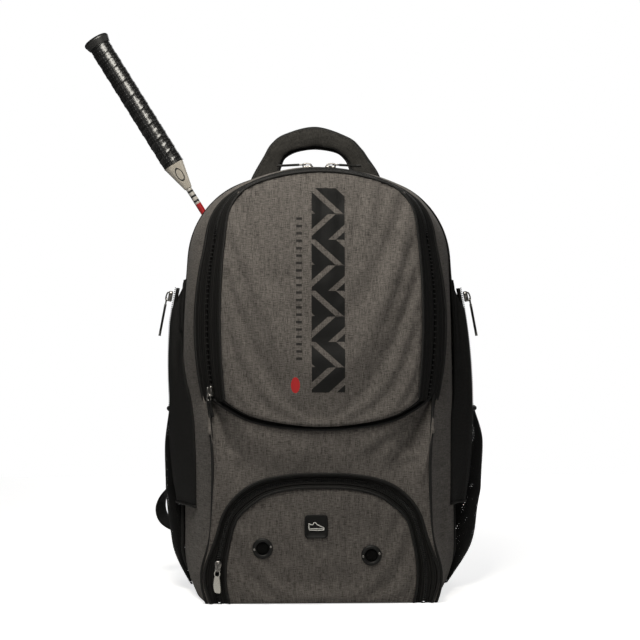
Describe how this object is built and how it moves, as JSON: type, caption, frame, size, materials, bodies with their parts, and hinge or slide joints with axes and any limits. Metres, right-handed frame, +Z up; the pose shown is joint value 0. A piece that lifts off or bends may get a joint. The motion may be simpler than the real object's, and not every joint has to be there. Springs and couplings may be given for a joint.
{
  "type": "racket backpack",
  "caption": "Backpack with a front pocket, shoe compartment, bottle pockets and a rear compartment that holds a badminton racket.",
  "frame": {"origin": "centre of the bag body's flat base, on the surface it stands on", "axes": "+Z up, -Y towards the front pocket, +Y towards the wearer's back, +X to the right seen from the front"},
  "size_m": [0.4577, 0.2422, 0.637],
  "materials": {
    "grey_fabric": "woven melange polyester, matt",
    "lining_fabric": "plain woven nylon lining",
    "zip_tape": "ribbed woven zip tape with a coil",
    "black_fabric": "plain woven nylon over foam",
    "spacer_mesh": "3-D spacer mesh over foam",
    "pocket_mesh": "open knitted mesh",
    "piping": "ribbon sewn round a cord",
    "webbing": "ribbed polypropylene webbing",
    "black_plastic": "moulded acetal",
    "vent_mesh": "fine mesh",
    "label_rubber": "moulded soft rubber",
    "zip_metal": "dark nickel",
    "pull_metal": "dark nickel with a black cord",
    "racket_frame_paint": "gloss paint",
    "string": "nylon string",
    "shaft_paint": "gloss paint with a red band",
    "cone_silver": "silver metallic lacquer",
    "grip_wrap": "spiral wrapped polyurethane"
  },
  "bodies": {
    "bag": {"base_panel": "grey_fabric", "lower_front_panel": "grey_fabric", "lower_gusset_left": "grey_fabric", "lower_gusset_right": "grey_fabric", "rear_gusset": "grey_fabric", "front_piping": "piping", "shoe_zip_tape_outer": "zip_tape", "shoe_ceiling": "lining_fabric", "racket_divider": "lining_fabric", "racket_gusset": "grey_fabric", "back_panel": "black_fabric", "back_pads": "spacer_mesh", "main_zip_tape_rear": "zip_tape", "side_pocket_left": "black_fabric", "side_pocket_right": "black_fabric", "side_zip_tapes": "zip_tape", "mesh_pocket_left": "pocket_mesh", "mesh_pocket_right": "pocket_mesh", "mesh_pocket_bindings": "piping", "shoulder_strap_left": "black_fabric", "shoulder_strap_right": "black_fabric", "strap_webbing": "webbing", "strap_tabs": "black_fabric", "handle_anchors": "webbing"},
    "front_section": {"upper_gusset": "grey_fabric", "main_zip_tape_front": "zip_tape", "pocket_back_wall": "lining_fabric", "pocket_zip_tape_rear": "zip_tape", "pocket_floor": "grey_fabric"},
    "front_flap": {"pocket_panel": "grey_fabric", "pocket_zip_tape_front": "zip_tape"},
    "shoe_flap": {"shoe_panel": "grey_fabric", "shoe_zip_tape_inner": "zip_tape", "vent_rings": "black_plastic", "vent_mesh": "vent_mesh", "shoe_label": "label_rubber"},
    "handle": {"handle_pad": "grey_fabric", "handle_webbing": "webbing"},
    "racket": {"racket_frame": "racket_frame_paint", "racket_strings": "string", "racket_shaft": "shaft_paint", "racket_cone": "cone_silver", "racket_grip": "grip_wrap", "racket_butt_cap": "grip_wrap"},
    "ladder_lock_left": {"ladder_lock_left": "black_plastic"},
    "ladder_lock_right": {"ladder_lock_right": "black_plastic"},
    "main_left_slider": {"main_left_slider": "zip_metal"},
    "main_left_pull": {"main_left_pull": "pull_metal"},
    "main_right_slider": {"main_right_slider": "zip_metal"},
    "main_right_pull": {"main_right_pull": "pull_metal"},
    "side_left_slider": {"side_left_slider": "zip_metal"},
    "side_left_pull": {"side_left_pull": "pull_metal"},
    "side_right_slider": {"side_right_slider": "zip_metal"},
    "side_right_pull": {"side_right_pull": "pull_metal"},
    "pocket_slider": {"pocket_slider": "zip_metal"},
    "pocket_pull": {"pocket_pull": "pull_metal"},
    "shoe_slider": {"shoe_slider": "zip_metal"},
    "shoe_pull": {"shoe_pull": "pull_metal"},
    "racket_slider": {"racket_slider": "zip_metal"},
    "racket_pull": {"racket_pull": "pull_metal"}
  },
  "joints": [
    {"name": "front_section_hinge", "type": "hinge", "parent": "bag", "child": "front_section", "pos_m": [0, -0.097, 0.1965], "axis": [1, 0, 0], "range_deg": [0, 40]},
    {"name": "front_flap_hinge", "type": "hinge", "parent": "front_section", "child": "front_flap", "pos_m": [0, -0.097, 0.2077], "axis": [1, 0, 0], "range_deg": [0, 95]},
    {"name": "shoe_flap_hinge", "type": "hinge", "parent": "bag", "child": "shoe_flap", "pos_m": [0, -0.092, 0.003], "axis": [1, 0, 0], "range_deg": [0, 70]},
    {"name": "handle_hinge", "type": "hinge", "parent": "bag", "child": "handle", "pos_m": [0, 0.0955, 0.47], "axis": [-1, 0, 0], "range_deg": [-60, 60]},
    {"name": "racket_slide", "type": "slide", "parent": "bag", "child": "racket", "axis": [-0.5299, 0, 0.848], "range_m": [0, 0.5]},
    {"name": "ladder_lock_left_slide", "type": "slide", "parent": "bag", "child": "ladder_lock_left", "axis": [-0.9355, 0, -0.3534], "range_m": [0, 0.012]},
    {"name": "ladder_lock_right_slide", "type": "slide", "parent": "bag", "child": "ladder_lock_right", "axis": [0.839, 0, -0.5442], "range_m": [0, 0.012]},
    {"name": "main_left_zip", "type": "hinge", "parent": "front_section", "child": "main_left_slider", "pos_m": [0, -0.012, 0.23083], "axis": [0, -1, 0], "range_deg": [0, 16]},
    {"name": "main_left_pull_hinge", "type": "hinge", "parent": "main_left_slider", "child": "main_left_pull", "pos_m": [-0.01684, -0.012, 0.47565], "axis": [0, 1, 0], "range_deg": [0, 150]},
    {"name": "main_right_zip", "type": "hinge", "parent": "front_section", "child": "main_right_slider", "pos_m": [0, -0.012, 0.23083], "axis": [0, 1, 0], "range_deg": [0, 16]},
    {"name": "main_right_pull_hinge", "type": "hinge", "parent": "main_right_slider", "child": "main_right_pull", "pos_m": [0.01684, -0.012, 0.47565], "axis": [0, -1, 0], "range_deg": [0, 150]},
    {"name": "side_left_zip", "type": "hinge", "parent": "bag", "child": "side_left_slider", "pos_m": [0.49238, 0.006, 0.20407], "axis": [0, -1, 0], "range_deg": [0, 15.35]},
    {"name": "side_left_pull_hinge", "type": "hinge", "parent": "side_left_slider", "child": "side_left_pull", "pos_m": [-0.17118, 0.006, 0.32548], "axis": [0, 1, 0], "range_deg": [0, 150]},
    {"name": "side_right_zip", "type": "hinge", "parent": "bag", "child": "side_right_slider", "pos_m": [-0.49238, 0.006, 0.20407], "axis": [0, 1, 0], "range_deg": [0, 15.35]},
    {"name": "side_right_pull_hinge", "type": "hinge", "parent": "side_right_slider", "child": "side_right_pull", "pos_m": [0.17118, 0.006, 0.32548], "axis": [0, -1, 0], "range_deg": [0, 150]},
    {"name": "pocket_zip", "type": "hinge", "parent": "front_flap", "child": "pocket_slider", "pos_m": [0.34836, -0.076, 0.301], "axis": [0, 1, 0], "range_deg": [0, 17.59]},
    {"name": "pocket_pull_hinge", "type": "hinge", "parent": "pocket_slider", "child": "pocket_pull", "pos_m": [-0.12143, -0.08073, 0.22202], "axis": [-0.6548, 0.7484, -0.1056], "range_deg": [0, 150]},
    {"name": "shoe_zip", "type": "slide", "parent": "shoe_flap", "child": "shoe_slider", "axis": [0.1961, 0, 0.9806], "range_m": [0, 0.026]},
    {"name": "shoe_pull_hinge", "type": "hinge", "parent": "shoe_slider", "child": "shoe_pull", "pos_m": [-0.11184, -0.0982, 0.03583], "axis": [-0.9806, 0, 0.1961], "range_deg": [0, 150]},
    {"name": "racket_zip", "type": "slide", "parent": "bag", "child": "racket_slider", "axis": [0, 0, 1], "range_m": [0, 0.08]},
    {"name": "racket_pull_hinge", "type": "hinge", "parent": "racket_slider", "child": "racket_pull", "pos_m": [-0.1566, 0.077, 0.235], "axis": [0, 1, 0], "range_deg": [0, 150]}
  ]
}
